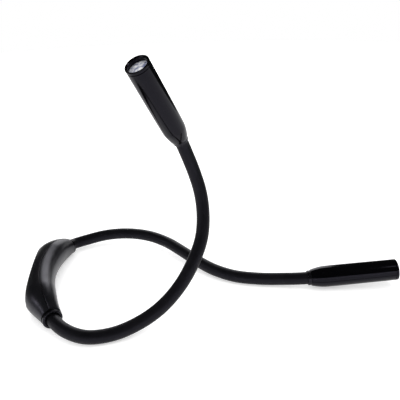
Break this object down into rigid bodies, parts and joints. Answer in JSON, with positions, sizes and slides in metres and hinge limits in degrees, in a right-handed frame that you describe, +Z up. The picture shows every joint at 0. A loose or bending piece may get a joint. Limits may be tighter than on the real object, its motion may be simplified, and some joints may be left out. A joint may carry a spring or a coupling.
{
  "type": "neck reading light",
  "caption": "Hands-free reading light: a curved battery housing worn at the back of the neck, with two bendable rubber-sleeved arms that each carry a tubular LED head.",
  "frame": {"origin": "middle of the bounding box, at the height of the surface it stands on", "axes": "+Z up as it stands, +X from the housing towards the heads, +Y from the raised arm's side to the lying arm's side"},
  "size_m": [0.2996, 0.1478, 0.1895],
  "materials": {
    "housing_plastic": "satin black moulded plastic",
    "cover_plastic": "satin black moulded plastic",
    "head_plastic": "high-gloss black",
    "sleeve_rubber": "matte black with a soft sheen",
    "bush_plastic": "semi-gloss black",
    "button_rubber": "matte dark grey",
    "gooseneck_steel": "wound steel, bare",
    "contact_steel": "nickel plated",
    "slug_aluminium": "turned, bare",
    "reflector_chrome": "bright mirror",
    "lens_clear": "clear, frosted on the inside",
    "led_phosphor": "yellow phosphor",
    "circuit_board": "green solder mask",
    "switch_plastic": "matte black",
    "cell_jacket": "painted can, plain",
    "tray_plastic": "matte dark grey",
    "wire_jacket": "matte"
  },
  "bodies": {
    "housing": {"main_shell": "housing_plastic", "back_cover": "cover_plastic", "collar_front": "bush_plastic", "collar_rear": "bush_plastic", "battery_tray": "tray_plastic", "cell_lower": "cell_jacket", "cell_upper": "cell_jacket", "contact_plate_lower": "contact_steel", "contact_plate_upper": "contact_steel", "contact_spring_lower": "contact_steel", "contact_spring_upper": "contact_steel", "driver_board": "circuit_board", "switch_board_front": "circuit_board", "switch_board_rear": "circuit_board", "tact_switch_front": "switch_plastic", "tact_switch_rear": "switch_plastic", "lead_front": "wire_jacket", "lead_rear": "wire_jacket", "sleeve_front_root": "sleeve_rubber", "core_front_root": "gooseneck_steel", "sleeve_rear_root": "sleeve_rubber", "core_rear_root": "gooseneck_steel"},
    "battery_door": {"battery_door": "cover_plastic"},
    "front_button": {"button_front": "button_rubber"},
    "rear_button": {"button_rear": "button_rubber"},
    "front_link_1": {"sleeve_front_1": "sleeve_rubber", "core_front_1": "gooseneck_steel"},
    "front_link_2": {"sleeve_front_2": "sleeve_rubber", "core_front_2": "gooseneck_steel"},
    "front_link_3": {"sleeve_front_3": "sleeve_rubber", "core_front_3": "gooseneck_steel"},
    "front_head": {"sleeve_front_tip": "sleeve_rubber", "core_front_tip": "gooseneck_steel", "barrel_front": "head_plastic", "rear_bush_front": "bush_plastic", "lens_front": "lens_clear", "bezel_front": "head_plastic", "reflector_front": "reflector_chrome", "led_board_front": "circuit_board", "led_chip_front": "led_phosphor", "heat_slug_front": "slug_aluminium", "head_lead_front": "wire_jacket"},
    "rear_link_1": {"sleeve_rear_1": "sleeve_rubber", "core_rear_1": "gooseneck_steel"},
    "rear_link_2": {"sleeve_rear_2": "sleeve_rubber", "core_rear_2": "gooseneck_steel"},
    "rear_link_3": {"sleeve_rear_3": "sleeve_rubber", "core_rear_3": "gooseneck_steel"},
    "rear_head": {"sleeve_rear_tip": "sleeve_rubber", "core_rear_tip": "gooseneck_steel", "barrel_rear": "head_plastic", "rear_bush_rear": "bush_plastic", "lens_rear": "lens_clear", "bezel_rear": "head_plastic", "reflector_rear": "reflector_chrome", "led_board_rear": "circuit_board", "led_chip_rear": "led_phosphor", "heat_slug_rear": "slug_aluminium", "head_lead_rear": "wire_jacket"}
  },
  "joints": [
    {"name": "front_swing", "type": "hinge", "parent": "housing", "child": "front_link_1", "pos_m": [-0.10576, -0.06367, 0.00685], "axis": [0.0803, -0.05, 0.9955], "range_deg": [-20, 35]},
    {"name": "front_lift", "type": "hinge", "parent": "front_link_1", "child": "front_link_2", "pos_m": [-0.04491, -0.05537, 0.01208], "axis": [0.3989, -0.917, 0], "range_deg": [-30, 30]},
    {"name": "front_sway", "type": "hinge", "parent": "front_link_2", "child": "front_link_3", "pos_m": [-0.00802, -0.02378, 0.05426], "axis": [-0.1894, 0.8129, -0.5507], "range_deg": [-35, 35]},
    {"name": "front_nod", "type": "hinge", "parent": "front_link_3", "child": "front_head", "pos_m": [-0.01641, -0.00118, 0.11414], "axis": [0.9397, 0.0077, 0.3418], "range_deg": [-40, 40]},
    {"name": "rear_swing", "type": "hinge", "parent": "housing", "child": "rear_link_1", "pos_m": [-0.11821, 0.0639, 0.00764], "axis": [-0.1059, -0.0362, 0.9937], "range_deg": [-20, 20]},
    {"name": "rear_lift", "type": "hinge", "parent": "rear_link_1", "child": "rear_link_2", "pos_m": [-0.05141, 0.06021, 0.01108], "axis": [-0.4743, -0.8804, 0], "range_deg": [-10, 35]},
    {"name": "rear_sway", "type": "hinge", "parent": "rear_link_2", "child": "rear_link_3", "pos_m": [-0.00086, 0.01395, 0.00595], "axis": [0.0466, -0.0385, 0.9982], "range_deg": [-20, 35]},
    {"name": "rear_nod", "type": "hinge", "parent": "rear_link_3", "child": "rear_head", "pos_m": [0.06495, -0.00649, 0.00656], "axis": [-0.1546, -0.988, 0], "range_deg": [-35, 40]},
    {"name": "door_slide", "type": "slide", "parent": "housing", "child": "battery_door", "axis": [-0.9925, -0.1219, 0], "range_m": [0, 0.03]},
    {"name": "front_button_press", "type": "slide", "parent": "housing", "child": "front_button", "axis": [0.9925, 0.1219, 0], "range_m": [0, 0.0006], "stiffness_N_per_m": 1500, "springref_m": -0.0004},
    {"name": "rear_button_press", "type": "slide", "parent": "housing", "child": "rear_button", "axis": [0.9925, 0.1219, 0], "range_m": [0, 0.0006], "stiffness_N_per_m": 1500, "springref_m": -0.0004}
  ]
}
